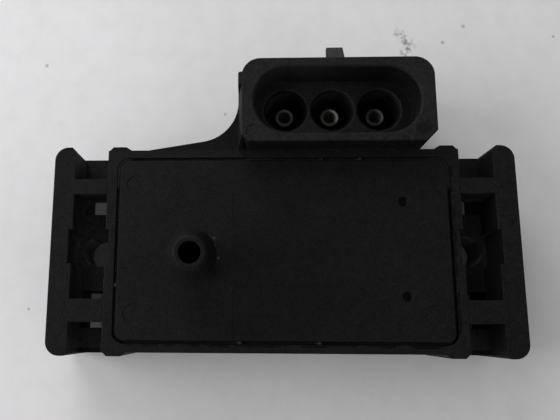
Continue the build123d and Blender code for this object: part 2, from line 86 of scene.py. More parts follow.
# %% [markdown]
# ## A short way to write shader maths
# A finish in Blender is a graph of nodes. It could be laid out by hand in the node editor, or
# added node by node, but long chains of Math nodes are hard to read either way. So a small class
# wraps a socket and lets ordinary signs such as + and * add the Math node. A pattern is then one
# expression, and 1 - mask works too, because the signs also exist in their reflected form.

# %% Sockets that do arithmetic
class Wire:
    """The output of a node. Arithmetic on it adds Math nodes."""

    def __init__(self, graph, socket):
        self.graph = graph
        self.socket = socket

    def math(self, operation, *values):
        return self.graph.node("Math", {"operation": operation}, dict(enumerate(values)))

    def __add__(self, other):
        return self.math("ADD", self, other)

    def __sub__(self, other):
        return self.math("SUBTRACT", self, other)

    def __rsub__(self, other):
        return self.math("SUBTRACT", other, self)

    def __mul__(self, other):
        return self.math("MULTIPLY", self, other)

    def __truediv__(self, other):
        return self.math("DIVIDE", self, other)

    def __rtruediv__(self, other):
        return self.math("DIVIDE", other, self)

    def __pow__(self, other):
        return self.math("POWER", self, other)

    def __gt__(self, other):
        return self.math("GREATER_THAN", self, other)

    def __lt__(self, other):
        return self.math("LESS_THAN", self, other)

    __radd__ = __add__
    __rmul__ = __mul__

    def size(self):
        """The value without its sign."""
        return self.math("ABSOLUTE", self)

    def max(self, other):
        return self.math("MAXIMUM", self, other)

    def min(self, other):
        return self.math("MINIMUM", self, other)

    def ramp(self, low, high, bottom=0.0, top=1.0):
        """A smooth step: bottom where the value is under low, top where it is over high."""
        settings = {"interpolation_type": "SMOOTHSTEP", "clamp": True}
        sockets = {"Value": self, "From Min": low, "From Max": high, "To Min": bottom, "To Max": top}
        return self.graph.node("MapRange", settings, sockets)

    def near(self, value, inner, outer):
        """1 within inner of a value, fading to 0 at outer."""
        return (self - value).size().ramp(inner, outer, 1.0, 0.0)

    def tinted(self, red=1.0, green=1.0, blue=1.0):
        """A colour with this level in each channel, times the channel's share."""
        channels = {"Red": self * red, "Green": self * green, "Blue": self * blue}
        return self.graph.node("CombineColor", None, channels)

    def part(self, name):
        """Another output of the same node."""
        return Wire(self.graph, self.socket.node.outputs[name])


def abilities(kind):
    """The names of what the objects of a class can do."""
    return ", ".join(name for name in vars(kind) if not name.startswith("_"))


print("A wire can do:", abilities(Wire))

# %% [markdown]
# Every other node comes from one method. It takes the type of the node, then its settings,
# because they decide which sockets exist, and then a number, a colour or a wire for each socket.
# Code that adds, sets and links each node on its own would be three times as long.

# %% One method that adds any node
class Graph:
    """A node tree, with the one method that adds its nodes."""

    def __init__(self, tree):
        self.tree = tree

    def node(self, kind, settings=None, sockets=None):
        prefix = "" if kind.startswith(("Geometry", "NodeGroup")) else "ShaderNode"
        made = self.tree.nodes.new(prefix + kind)
        for name, value in (settings or {}).items():
            setattr(made, name, value)
        for name, value in (sockets or {}).items():
            self.plug(made, name, value)
        shown = [socket for socket in made.outputs if socket.enabled]
        return Wire(self, shown[0] if shown else None)

    def plug(self, made, name, value):
        if isinstance(name, int):
            socket = made.inputs[name]
        else:
            socket = next(s for s in made.inputs if s.name == name and s.enabled)
        if isinstance(value, Wire):
            self.tree.links.new(value.socket, socket)
        else:
            socket.default_value = value

    def axes(self, vector):
        """The three parts of a vector, each as its own wire."""
        split = self.node("SeparateXYZ", None, {"Vector": vector})
        return [split.part(axis) for axis in "XYZ"]

    def in_mm(self, place):
        """A place in metres, turned into millimetres."""
        return self.node("VectorMath", {"operation": "SCALE"}, {0: place, "Scale": 1 / MM})


print("A graph can do:", abilities(Graph))

# %% [markdown]
# A finish starts from the same few things each time: the place on the part in millimetres, noise
# whose blobs have a known size, a blend of two colours, and a height that becomes dents. They
# are gathered in one class, which the recipes below call f. Object coordinates fit this job: the
# pieces are not turned or moved, so a mark at x = 5 sits 5 mm right of the middle of the part.

# %% A material laid out in millimetres
class Finish(Graph):
    """One material. Sizes and depths are given in millimetres."""

    def __init__(self, name):
        self.material = bpy.data.materials.new(name)
        self.material.use_nodes = True
        super().__init__(self.material.node_tree)
        self.tree.nodes.clear()
        self.mm = self.in_mm(self.node("TexCoord").part("Object"))

    def noise(self, size, detail, rough, seed, stretch=(1, 1, 1)):
        """Cloudy noise whose blobs are about size mm wide, centred on 0.5."""
        place = self.node("VectorMath", {"operation": "MULTIPLY"}, {0: self.mm, 1: stretch})
        sockets = {"Vector": place, "W": seed, "Scale": 1 / size, "Detail": detail, "Roughness": rough}
        return self.node("TexNoise", {"noise_dimensions": "4D"}, sockets)

    def mix(self, amount, first, second):
        """Blends two colours."""
        settings = {"data_type": "RGBA", "blend_type": "MIX"}
        return self.node("Mix", settings, {"Factor": amount, "A": first, "B": second})

    def bump(self, height, depth, normal=None):
        """Turns a height, from 0 to 1, into dents that are depth mm deep."""
        sockets = {"Height": height, "Distance": depth * MM, "Strength": 1.0}
        if normal is not None:
            sockets["Normal"] = normal
        return self.node("Bump", None, sockets)

    def surface(self, **values):
        """The finished material. The names are those of the Principled node's sockets."""
        sockets = {name.replace("_", " "): value for name, value in values.items()}
        shader = self.node("BsdfPrincipled", None, sockets)
        self.node("OutputMaterial", None, {"Surface": shader})
        return self.material


def grey(level):
    """A neutral colour, written as its share of full white light."""
    return (level, level, level, 1.0)


print("A finish can do:", abilities(Finish))

# %% [markdown]
# ## The black moulding
# The housing and cover are moulded from a nylon-like plastic filled with short glass fibres. The
# skin is never plain black. It carries the fine grain of the mould, cloudy marks where the melt
# flowed, pale scuffs from handling, and edges that are a little polished. These could be modelled
# or painted, but a layer of noise at each mark's real size costs far less and stays sharp from
# close by. The layers are mixed into one colour, one roughness and one height. A Bevel node finds
# the edges, as its normal differs from the plain one there. What is at one place only, real marks
# as well as painted light and painted shade, comes from a second function, marks_and_painted_light.

# %% Black glass-filled plastic
EDGE_RADIUS = 0.16
SCUFF_COLOUR = (0.075, 0.075, 0.078, 1.0)


def black_moulding(name, base, wear, seed, marks_and_painted_light):
    """base is how pale the black is, wear how rubbed its edges are, marks_and_painted_light(f) scales
    it by place.
    """
    f = Finish(name)
    clouds = f.noise(7.0, 4.0, 0.55, seed=seed)
    mottle = f.noise(1.1, 3.0, 0.6, seed=seed + 1)
    grain = f.noise(0.22, 2.0, 0.6, seed=seed + 2)
    scuffs = f.noise(1.9, 6.0, 0.75, seed=seed + 3).ramp(0.6, 0.78)
    smooth = f.node("Bevel", {"samples": 6}, {"Radius": EDGE_RADIUS * MM})
    plain = f.node("NewGeometry").part("Normal")
    alike = f.node("VectorMath", {"operation": "DOT_PRODUCT"}, {0: smooth, 1: plain}).part("Value")
    worn_edge = (1.0 - alike).ramp(0.02, 0.3) * mottle.ramp(0.35, 0.65) * wear
    level = base * (clouds * 0.6 + mottle + grain * 2.8 - 1.2) * marks_and_painted_light(f)
    pale = worn_edge * 0.2 + scuffs * 0.05
    return f.surface(
        Base_Color=f.mix(pale, level.tinted(blue=1.04), SCUFF_COLOUR),
        Roughness=0.6 - worn_edge * 0.12 + mottle * 0.1,
        Normal=f.bump(grain * 0.7 + mottle * 0.5 + clouds, 0.03, smooth),
        Specular_IOR_Level=0.1,
    )


print("Edges count as worn within", EDGE_RADIUS, "mm")

# %% [markdown]
# ## Painted light and shade in the screw pockets
# Each ear is cored out around its screw hole, so that no wall is much thicker than the rest and
# the moulding doesn't warp. Painted light lifts the floors, the lower walls and the wall of the
# screw hole, most on walls that look right and most between the two ribs, and the rims above are
# left as they are. Walls that look left get painted shade near the top. A picture could be painted
# for this. Tests on the place and on the way that a face looks do the same without one, and hold
# from every side. This function and the next say how much paler a place is: 1 is twice as pale.

# %% Painted light and shade in the screw pockets
BODY_TOP = 12.5
EAR_START = 24.6
EAR_END = 30.9
EAR_NEAR_WALL = -13.5
HOLE_Y = 0.3
HOLE_REACH = 2.3
FOOT_TOP = 6.3


def below_top(z):
    """1 under the flat top of the body, 0 on it."""
    return z.ramp(BODY_TOP - 0.2, BODY_TOP - 0.05, 1.0, 0.0)


def pocket_painted_light_and_shade(x, y, z, facing):
    in_ear = (x.size() > EAR_START) * (x.size() < EAR_END) * (y > EAR_NEAR_WALL) * below_top(z)
    depth = z.ramp(3.0, 11.0, 1.0, 0.0)
    # Painted light on the walls by the way they face, most on walls that look right; walls that look
    # left get painted shade near the top.
    looks_left = (facing[0] < -0.5) * (depth * 3.6 - 0.5)
    looks_right = (facing[0] > 0.5) * (depth * y.size().ramp(8.2, 9.0, 25.0, 6.0) + 1.2)
    looks_near = (facing[1] < -0.7) * (depth * 14.0 + 1.5)
    # Painted light on the wall of the screw hole and on the pocket floors.
    in_hole = (z < FOOT_TOP - 0.1) * (facing[2] < 0.5) * ((y - HOLE_Y).size() < HOLE_REACH) * 12.0
    left_and_far = x.ramp(-5.0, 5.0, 3.0, 0.6) + y.ramp(-5.0, 3.0, 0.0, 3.0)
    near_right = (x > 0.0) * (y < -9.0) * 2.2
    floor = (facing[2] > 0.5) * y.ramp(8.0, 10.0, 1.0, 0.15) * (left_and_far + near_right)
    return in_ear * (looks_left + looks_right + looks_near + in_hole + floor)


print("Pockets lie between", EAR_START, "and", EAR_END, "mm from the middle")

# %% [markdown]
# ## The connector's socket
# A plug enters an oval socket, and each pin stands in a round well with a coned mouth that guides
# the plug's sleeve. Painted light makes the floor paler at the left and the walls of the wells
# paler or darker by the way they face, painted shade darkens the cones and the right end, and a
# painted highlight runs as a thin pale rim around each well. Three sets of these could be placed
# one by one. The wells repeat at one pitch, though, so a wrap folds all three onto the middle one,
# and one distance draws them all.

# %% Painted light and shade in the socket
TOWER_TOP = 16.6
SOCKET_X = 7.38
SOCKET_Y = 19.8
SOCKET_HALF_LENGTH = 11.35
SOCKET_HALF_WIDTH = 4.75
PIN_ROW_Y = 20.1
PIN_PITCH = 6.65
SOCKET_FLOOR = 11.3
WELL_RIM_RADIUS = 3.18


def socket_painted_light_and_shade(x, y, z, facing):
    from_middle = x - SOCKET_X
    reach_x = from_middle.size()
    reach_y = (y - SOCKET_Y).size()
    inside = (reach_y < SOCKET_HALF_WIDTH) * (reach_x < SOCKET_HALF_LENGTH) * (z > 3.0)
    below_rim = z.ramp(TOWER_TOP - 0.5, TOWER_TOP - 0.2, 1.0, 0.0)
    from_pin = x.math("WRAP", from_middle, PIN_PITCH / 2, -PIN_PITCH / 2)
    well_reach = (from_pin ** 2 + (y - PIN_ROW_Y) ** 2) ** 0.5
    # Painted shade on the cones, and a painted highlight on the rim of each well.
    cone = (well_reach < WELL_RIM_RADIUS - 0.1) * z.near(SOCKET_FLOOR - 0.3, 0.28, 0.3)
    well_rim = well_reach.near(WELL_RIM_RADIUS, 0.06, 0.2) * (z < SOCKET_FLOOR + 0.1) * (reach_x < 9.9)
    # Painted light: the floor is paler at the left and the walls of the wells by the way they face;
    # the right end gets painted shade.
    floor = (x.ramp(-5.0, 15.0, 2.5, 0.05) + well_rim) * (1.0 - cone)
    well_walls = (z < SOCKET_FLOOR - 0.55) * facing[0].ramp(-0.5, 0.1, -0.6, 3.5)
    right_end = x.ramp(16.0, 17.0, 0.0, 0.1)
    return inside * below_rim * (floor + well_walls - right_end - cone * 0.4)


print("Wells stand at x =", [round(SOCKET_X + step * PIN_PITCH, 2) for step in (-1, 0, 1)])

# %% [markdown]
# ## The seam and the rims
# Sealant was wiped past the groove on the near and right sides, and left a ragged dark edge on
# the rim. It could be a thin second mesh, but it has no thickness to speak of, so a noise moves
# the edge of a dark band in and out. The walls inside the groove get painted shade, the rim of
# the connector gets a painted highlight and its latch is paler, a round dark mark shows where a
# pin of the mould pushed the part out, and the gusset is darker. The painted light and shade of
# the pockets and the socket join them here.

# %% Marks, painted light and painted shade on the housing, and the finished housing
RIM_HALF_LENGTH = 23.0
RIM_HALF_WIDTH = 12.8
MOULD_PIN = (18.75, 15.65, TOWER_TOP)


def smear_marks(f, x, y, z):
    past_seam = (x.size() - RIM_HALF_LENGTH).max(y.size() - RIM_HALF_WIDTH)
    ragged = f.noise(1.6, 5.0, 0.7, seed=71.0).ramp(0.4, 0.58) * 0.42
    at_corner = (x.size() > 21.6) * (y.size() > 11.4)
    smeared_side = (z > BODY_TOP - 0.2) * (y < -12.0).max(x > 22.5) * (1.0 - at_corner)
    return smeared_side * (past_seam - ragged).ramp(-0.05, 0.06, 0.85, 0.0)


def housing_marks_and_painted_light(f):
    x, y, z = f.axes(f.mm)
    facing = f.axes(f.node("NewGeometry").part("Normal"))
    # Painted light and painted shade from the screw pockets and the socket.
    dust_and_painted_light = pocket_painted_light_and_shade(x, y, z, facing) + socket_painted_light_and_shade(x, y, z, facing)
    # A painted highlight on the rim of the connector.
    connector_rim = z.ramp(TOWER_TOP - 0.4, TOWER_TOP - 0.1)
    latch = y.ramp(25.9, 26.1) * facing[2].ramp(0.1, 0.4)
    in_seam = (x.size() < RIM_HALF_LENGTH + 0.05) * (y.size() < RIM_HALF_WIDTH + 0.05)
    # Painted shade on the walls inside the groove.
    groove_shade = in_seam * (z > 9.0) * below_top(z)
    gusset = x.ramp(-5.9, -5.7, 1.0, 0.0) * y.ramp(13.9, 14.0)
    mould_pin = spots(f, [MOULD_PIN], 1.25)
    paler = dust_and_painted_light + connector_rim * 0.7 + latch * 3.6
    darker = groove_shade * 0.1 + gusset * 0.45 + mould_pin * 0.75 + smear_marks(f, x, y, z)
    return 1.0 + paler - darker


def spots(f, places, radius):
    """1 on small round marks at the given places, in mm."""
    total = 0.0
    for place in places:
        away = f.node("VectorMath", {"operation": "DISTANCE"}, {0: f.mm, 1: place}).part("Value")
        total = total + away.ramp(radius * 0.4, radius, 1.0, 0.0)
    return total


housing_black = black_moulding("black_housing_plastic", 0.0073, 0.5, 1.0, housing_marks_and_painted_light)
print("Made", housing_black.name, "with", len(housing_black.node_tree.nodes), "nodes")

# %% [markdown]
# ## The cover
# The cover was moulded against a loose steel block, and the joint of the block left a faint line
# with one rounded corner. The plastic to its right and below came out a shade darker. The line
# could be a hair-thin groove in the mesh. A signed distance to a rounded corner draws both the
# line and the shade from the same numbers instead: it is zero on the line and negative inside.
# The sides of the nipple get painted shade, a little more on the right, the floors of the two
# blind holes get painted light, the cover's sides inside the groove get painted shade, and a few
# crumbs of plastic are stuck beside the nipple.

# %% Marks, painted light and painted shade on the cover, and the finished cover
BLOCK_X = -6.8
BLOCK_Y = -4.8
BLOCK_ROUND = 1.2
NIPPLE_TOP = 21.9
blind_holes = [(16.5, 6.45, 11.5), (16.5, -6.45, 11.5)]
crumb_places = [(-9.36, 1.44, BODY_TOP), (-8.75, -1.31, BODY_TOP), (-9.3, 0.4, BODY_TOP)]


def cover_marks_and_painted_light(f):
    x, y, z = f.axes(f.mm)
    across = BLOCK_X + BLOCK_ROUND - x
    down = y - BLOCK_Y + BLOCK_ROUND
    outer = (across.max(0.0) ** 2 + down.max(0.0) ** 2) ** 0.5
    edge = outer + across.max(down).min(0.0) - BLOCK_ROUND
    shade = edge.ramp(-0.3, 0.1, 1.0, 0.0) * x.ramp(-7.0, 16.0, 0.24, 0.0)
    line = edge.near(0.0, 0.02, 0.17) * x.ramp(-6.0, -3.0, 1.0, 0.0)
    upper_line = x.near(BLOCK_X + 0.05, 0.02, 0.17) * y.near(5.6, 1.6, 2.4)
    on_top = z.near(BODY_TOP, 0.02, 0.05)
    # Painted shade on the cover's sides inside the groove.
    groove_shade = z.ramp(12.2, 12.38, 1.0, 0.0) * (z > 10.0)
    # Painted shade on the sides of the nipple, a little more on the right.
    nipple_shade = z.ramp(12.9, 13.4) * z.ramp(NIPPLE_TOP - 0.7, NIPPLE_TOP - 0.3, 1.0, 0.0)
    darker = on_top * (shade + (line + upper_line) * 0.5) + groove_shade * 0.5
    darker = darker + nipple_shade * x.ramp(-13.8, -10.5, 0.66, 0.8)
    ends = x.ramp(-22.0, 2.0, 0.22, 0.0) + x.ramp(9.0, 19.0, 0.0, 0.1)
    crumbs = spots(f, crumb_places, 0.28)
    # Painted light on the floors of the two blind holes.
    lit_hole_floors = spots(f, blind_holes, 1.3) * below_top(z)
    return 1.0 + ends - darker + crumbs * 3.5 + lit_hole_floors * 5.0


cover_black = black_moulding("black_cover_plastic", 0.0062, 0.3, 11.0, cover_marks_and_painted_light)
print("Made", cover_black.name, "with", len(cover_black.node_tree.nodes), "nodes")

# %% [markdown]
# ## Giving a CAD piece its finish
# A CAD piece keeps its mesh, and only the material in its slot changes. A material could be
# linked to the object instead, but one in the mesh stays with the shape wherever it is used. So
# a small helper clears the slots of the mesh and puts one finish there.

# %% Helper that paints a CAD piece
def paint(node_name, material):
    mesh = nodes[node_name].data
    mesh.materials.clear()
    mesh.materials.append(material)
    print("Painted", node_name, "with", material.name)


paint("housing", housing_black)
paint("front_cover", cover_black)

# %% [markdown]
# ## Rubber, epoxy and glue
# The ring around the pressure port is matt rubber, the leads are sealed with an epoxy that has
# flowed and set, and glue holds the ceramic plate and the die. All of them were soft once, so
# they have slow waves instead of grain, and dust sticks to them. They could each have a recipe,
# but they differ only in colour, gloss and the depth of the waves, so one recipe takes those.

# %% Things that were soft once
def sealing(name, colour, roughness, lumps, seed):
    f = Finish(name)
    waves = f.noise(1.1, 3.0, 0.5, seed=seed)
    dust_and_painted_light = f.noise(0.25, 3.0, 0.7, seed=seed + 1).ramp(0.62, 0.75)
    pale = [min(1.0, channel * 3 + 0.03) for channel in colour[:3]] + [1.0]
    return f.surface(
        Base_Color=f.mix(dust_and_painted_light * 0.5 + waves * 0.2, colour, pale),
        Roughness=roughness + waves * 0.12 + dust_and_painted_light * 0.2,
        Normal=f.bump(waves + dust_and_painted_light * 0.1, lumps),
    )


paint("port_seal", sealing("port_rubber", grey(0.012), 0.6, 0.02, 24.0))
paint("terminal_sealant", sealing("set_epoxy", (0.02, 0.014, 0.01, 1.0), 0.25, 0.06, 27.0))
paint("substrate_adhesive", sealing("dot_adhesive", (0.5, 0.48, 0.45, 1), 0.4, 0.02, 53.0))
paint("die_attach", sealing("die_adhesive", (0.35, 0.35, 0.36, 1), 0.4, 0.01, 55.0))

# %% [markdown]
# ## Geometry Nodes as a tool for one mesh
# The sealing bead comes next, and its shape follows a path. Such a shape could be a modifier that
# stays live. Here the tree runs once and leaves a plain mesh, because whatever poses, bakes or
# prints the part later needs plain vertices. The class below gives the tree its named inputs,
# sets them by the identifier of each socket before the first run, and ends in Realize Instances
# and Set Material.

# %% A geometry tree that becomes a plain mesh
class Shape(Graph):
    """A geometry tree with named inputs, run once."""

    def __init__(self, name, values):
        super().__init__(bpy.data.node_groups.new(name, "GeometryNodeTree"))
        face = self.tree.interface
        face.new_socket("Geometry", in_out="OUTPUT", socket_type="NodeSocketGeometry")
        self.values = {}
        for label, value in values.items():
            socket = face.new_socket(label, in_out="INPUT", socket_type="NodeSocketFloat")
            self.values[socket.identifier] = value
        entry = self.node("NodeGroupInput")
        self.inputs = {label: entry.part(label) for label in values}

    def make(self, name, geometry, material):
        whole = self.node("GeometryNodeRealizeInstances", None, {"Geometry": geometry})
        sockets = {"Geometry": whole, "Material": material}
        painted = self.node("GeometryNodeSetMaterial", None, sockets)
        self.node("NodeGroupOutput", None, {"Geometry": painted})
        made = bpy.data.objects.new(name, bpy.data.meshes.new(name))
        bpy.context.scene.collection.objects.link(made)
        modifier = made.modifiers.new("shape", "NODES")
        modifier.node_group = self.tree
        for identifier, value in self.values.items():
            modifier[identifier] = value
        made.update_tag()
        depsgraph = bpy.context.evaluated_depsgraph_get()
        mesh = bpy.data.meshes.new_from_object(made.evaluated_get(depsgraph), depsgraph=depsgraph)
        made.modifiers.clear()
        made.data = mesh
        print(name, "has", len(mesh.polygons), "faces")
        return made


print("A shape can do:", abilities(Shape))

# %% [markdown]
# ## The bead around the cover
# The cover is glued in with black silicone, laid in the groove by a nozzle that moves around it.
# At the two far corners the bead fills the groove to the brim, on the far and left sides it is
# sunk halfway, and elsewhere it sank and left a dark slot. The CAD model has the bead with a
# flat top. It could be sculpted, but a thing that follows a path suits Geometry Nodes: a rounded
# rectangle is the path, a small rounded block is the section, and rules say how high the top
# stands. First come the finish and the measures: silicone is about as black as the plastic and
# a little smoother, the bead gets painted light where it sank, and a few pale chips stick to it.

# %% Silicone, its chips and the bead's measures
CHIP_Z = 12.4
chip_places = [(-5.8, -12.6), (4.8, -12.6), (-22.8, -5.0), (5.6, 12.6), (10.9, 12.6)]


def silicone(name):
    f = Finish(name)
    z = f.axes(f.mm)[2]
    skin = f.noise(0.4, 3.0, 0.6, seed=21.0)
    # Painted light: the bead is paler where it sank deeper into the groove.
    level = z.ramp(12.0, 12.4, 0.013, 0.0076) * (skin * 1.2 + 0.4)
    chips = spots(f, [(*place, CHIP_Z) for place in chip_places], 0.32)
    return f.surface(
        Base_Color=f.mix(chips * 0.8, level.tinted(), grey(0.035)),
        Roughness=0.5 + skin * 0.2,
        Normal=f.bump(skin, 0.02),
        Specular_IOR_Level=0.1,
    )


bead = Shape(
    "sealing bead",
    {
        "Path Length": 45.6 * MM,
        "Path Width": 25.2 * MM,
        "Path Corner": 1.4 * MM,
        "Bead Width": 0.38 * MM,
        "Bottom": 10.2 * MM,
        "Sunk Top": 11.75 * MM,
        "Brim": 12.44 * MM,
        "Flange Width": 1.29 * MM,
        "Flange Height": 0.28 * MM,
        "Seed": 5.0,
    },
)
given = bead.inputs
print("The bead's inputs:", ", ".join(given))

# %% [markdown]
# The bead and the flat flange under the edge of the cover are both blocks swept round the groove,
# so one function makes both. The path is cut into short, equal steps, so that the top has enough
# points to rise and sink, and its normals are kept upright, so that the block doesn't roll over.

# %% A block swept round the groove
STEP = 0.3


def rectangle(width, height, corner):
    sides = {"Width": width, "Height": height}
    plain = bead.node("GeometryNodeCurvePrimitiveQuadrilateral", None, sides)
    rounding = {"Curve": plain, "Count": 6, "Radius": corner}
    return bead.node("GeometryNodeFilletCurve", {"mode": "POLY"}, rounding)


def swept(inset, width, height, corner, middle):
    """A rounded block swept round the groove, its path moved inwards by inset."""
    length = given["Path Length"] - inset * 2.0
    breadth = given["Path Width"] - inset * 2.0
    ring = rectangle(length, breadth, given["Path Corner"] - inset)
    steps = {"Curve": ring, "Length": STEP * MM}
    fine = bead.node("GeometryNodeResampleCurve", {"mode": "LENGTH"}, steps)
    upright = bead.node("GeometryNodeSetCurveNormal", {"mode": "Z_UP"}, {"Curve": fine})
    ends = {"Curve": upright, "Profile Curve": rectangle(width, height, corner)}
    strip = bead.node("GeometryNodeCurveToMesh", None, ends)
    lift = bead.node("CombineXYZ", None, {"Z": middle})
    return bead.node("GeometryNodeSetPosition", None, {"Geometry": strip, "Offset": lift})


sunk_height = given["Sunk Top"] - given["Bottom"]
bead_middle = given["Bottom"] + sunk_height * 0.5
crown = swept(0.0, given["Bead Width"], sunk_height, 0.1 * MM, bead_middle)
flange_inset = (given["Flange Width"] - given["Bead Width"]) * 0.5
flange_middle = given["Bottom"] + given["Flange Height"] * 0.5
flange = swept(flange_inset, given["Flange Width"], given["Flange Height"], 0.05 * MM, flange_middle)
print("The tree has", len(bead.tree.nodes), "nodes so far")

# %% [markdown]
# How full the groove is comes from the place along it: 0 is sunk and 1 is up to the brim. The
# largest of several rules wins, one for each stretch and one for each chip. Where the bead is
# sunk, noise makes its top wave. Only the top of the block moves, so the bead stays seated.

# %% How full the groove is
WAVES_PER_METRE = 350.0
TOP_STARTS = 10.8

here = bead.node("GeometryNodeInputPosition")
x, y, z = bead.axes(bead.in_mm(here))
side_fill = (x.size() > 22.0) * y.ramp(7.4, 8.8)
corner_fill = (y > 12.0) * x.size().ramp(19.6, 21.2)
half_fill = (x < -22.0).max(y > 12.0) * 0.4
gap_fill = (y > 12.0) * x.near(-2.7, 1.6, 2.6) * 0.8
fill = side_fill.max(corner_fill).max(half_fill).max(gap_fill)
for chip_x, chip_y in chip_places:
    lump = x.near(chip_x, 0.15, 0.4) * y.near(chip_y, 0.15, 0.4)
    fill = fill.max(lump)
noise = {"Vector": here, "W": given["Seed"], "Scale": WAVES_PER_METRE}
waves = bead.node("TexNoise", {"noise_dimensions": "4D"}, noise)
rise = (given["Brim"] - given["Sunk Top"]) * fill + (waves - 0.5) * (1.0 - fill) * 0.5 * MM
lift = bead.node("CombineXYZ", None, {"Z": rise * (z > TOP_STARTS)})
shaped = bead.node("GeometryNodeSetPosition", None, {"Geometry": crown, "Offset": lift})
print("The bead has", len(chip_places), "chips, and its tree", len(bead.tree.nodes), "nodes")

# %% [markdown]
# The two strips are joined and become one mesh. It stands for the CAD node cover_seal, so it is
# attached to the body root, and the flat CAD bead is no longer shown. The box is printed to
# compare it with the groove that the bead lies in.

# %% The finished bead
both = bead.node("GeometryNodeJoinGeometry", None, {"Geometry": flange})
bead.plug(both.socket.node, "Geometry", shaped)
cover_bead = bead.make("cover_bead", both, silicone("silicone_bead"))
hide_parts("cover_seal")
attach(cover_bead, "root")
for axis, letter in enumerate("xyz"):
    places = [vertex.co[axis] / MM for vertex in cover_bead.data.vertices]
    print("Bead along", letter, "in mm:", round(min(places), 2), "to", round(max(places), 2))

# %% [markdown]
# ## Metals
# Under the cover, the printed pads and the fine wires of the die are gold, the ribbons that bring
# the leads to the pads are aluminium, and solder holds the chips. A plain metal would look like a
# mirror. Real metal has a thin film that wanders in colour and gloss, and fine lines, so one
# recipe makes a metal with both.

# %% Gold, aluminium and solder
def metal(name, colour, tarnish, roughness, seed):
    f = Finish(name)
    film = f.noise(0.5, 4.0, 0.6, seed=seed).ramp(0.4, 0.75)
    lines = f.noise(0.05, 2.0, 0.6, seed=seed + 1)
    return f.surface(
        Base_Color=f.mix(film * 0.6, colour, tarnish),
        Metallic=1.0,
        Roughness=roughness + film * 0.15 + lines * 0.1,
        Normal=f.bump(lines, 0.004),
    )


gold = metal("gold_film", (0.83, 0.58, 0.2, 1), (0.6, 0.42, 0.2, 1), 0.28, 33.0)
aluminium = metal("aluminium_wire", (0.8, 0.8, 0.79, 1), (0.6, 0.6, 0.6, 1), 0.25, 35.0)
solder = metal("solder", (0.6, 0.6, 0.58, 1), (0.4, 0.4, 0.39, 1), 0.35, 37.0)
paint("bond_pads", gold)
paint("terminal_ribbons", aluminium)
paint("die_wires", gold)
paint("chip_bumps", solder)
paint("solder_lands", solder)

# %% [markdown]
# ## The connector pins
# The pins are brass strip rolled into tubes and tinned. The tin has dulled to a dark grey, the
# inside of each tube is darker still, and the rolled lip at the tip shows as a thin ring with a
# painted highlight, brightest on one side and more on the middle pin than on the others. The ring
# could be a piece of its own with its own material, but it is one tube on the real pin. So a
# distance from the axis of the pin places the ring, and a direction places its brightest side.

# %% Pins with a dull tube and a painted highlight on the lip
LIP_RADIUS = 1.12
BORE_RADIUS = 0.87
PIN_TIP = 8.1


def pin_tin(name, centre_x, lip_highlight, turn, seed):
    """lip_highlight is how bright the painted highlight on one side of the lip is, turn its direction
    in degrees.
    """
    f = Finish(name)
    x, y, z = f.axes(f.mm)
    out_x = x - centre_x
    out_y = y - PIN_ROW_Y
    reach = (out_x ** 2 + out_y ** 2) ** 0.5
    aim = math.radians(turn)
    side = (out_x * math.cos(aim) + out_y * math.sin(aim)) / reach
    film = f.noise(0.4, 4.0, 0.65, seed=seed)
    lines = f.noise(0.05, 2.0, 0.6, stretch=(1, 1, 0.1), seed=seed + 1)
    lip = reach.near(LIP_RADIUS, 0.1, 0.34) * z.ramp(PIN_TIP - 0.3, PIN_TIP - 0.1)
    bore = (reach < BORE_RADIUS) * (z < PIN_TIP - 0.05) * (z > 3.7)
    # A painted highlight on the lip, brightest on the side that turn points to.
    bright = lip * (0.1 + side.ramp(0.2, 0.95) * lip_highlight) * (film * 0.8 + 0.6)
    shaft = z.ramp(6.5, 7.9, 0.25, 0.02)
    level = (shaft + bright) * (1.0 - bore * 0.7) + bore * 0.17
    return f.surface(
        Base_Color=level.tinted(green=0.99, blue=0.95),
        Metallic=1.0 - bore,
        Roughness=0.32 + film * 0.2 + lines * 0.1,
        Normal=f.bump(lines, 0.004),
    )


pins = [
    ("terminal_supply", SOCKET_X - PIN_PITCH, 0.12, 60),
    ("terminal_signal", SOCKET_X, 0.6, 25),
    ("terminal_ground", SOCKET_X + PIN_PITCH, 0.3, 20),
]
for terminal, centre_x, lip_highlight, turn in pins:
    paint(terminal, pin_tin(terminal + "_tin", centre_x, lip_highlight, turn, 31.0))

# %% [markdown]
# ## The circuit under the cover
# Nobody sees the circuit until the cover comes off, but it is a real part of the sensor: a white
# alumina plate with printed resistors, capacitors, an amplifier chip and the silicon die that
# feels the pressure. They could stay plain, as the photograph doesn't show them. A soft mottle
# between two shades of each material is enough, and one recipe with a table of colours does it.

# %% Ceramic, silicon and printed films
def ceramic(name, colour, shade, size, roughness, seed):
    f = Finish(name)
    cells = f.noise(size, 4.0, 0.6, seed=seed)
    specks = f.noise(size * 0.3, 2.0, 0.6, seed=seed + 1).ramp(0.6, 0.75)
    return f.surface(
        Base_Color=f.mix(cells.ramp(0.3, 0.7) * 0.6 + specks * 0.4, colour, shade),
        Roughness=roughness + specks * 0.1,
        Normal=f.bump(cells * 0.5 + specks * 0.5, 0.01),
    )


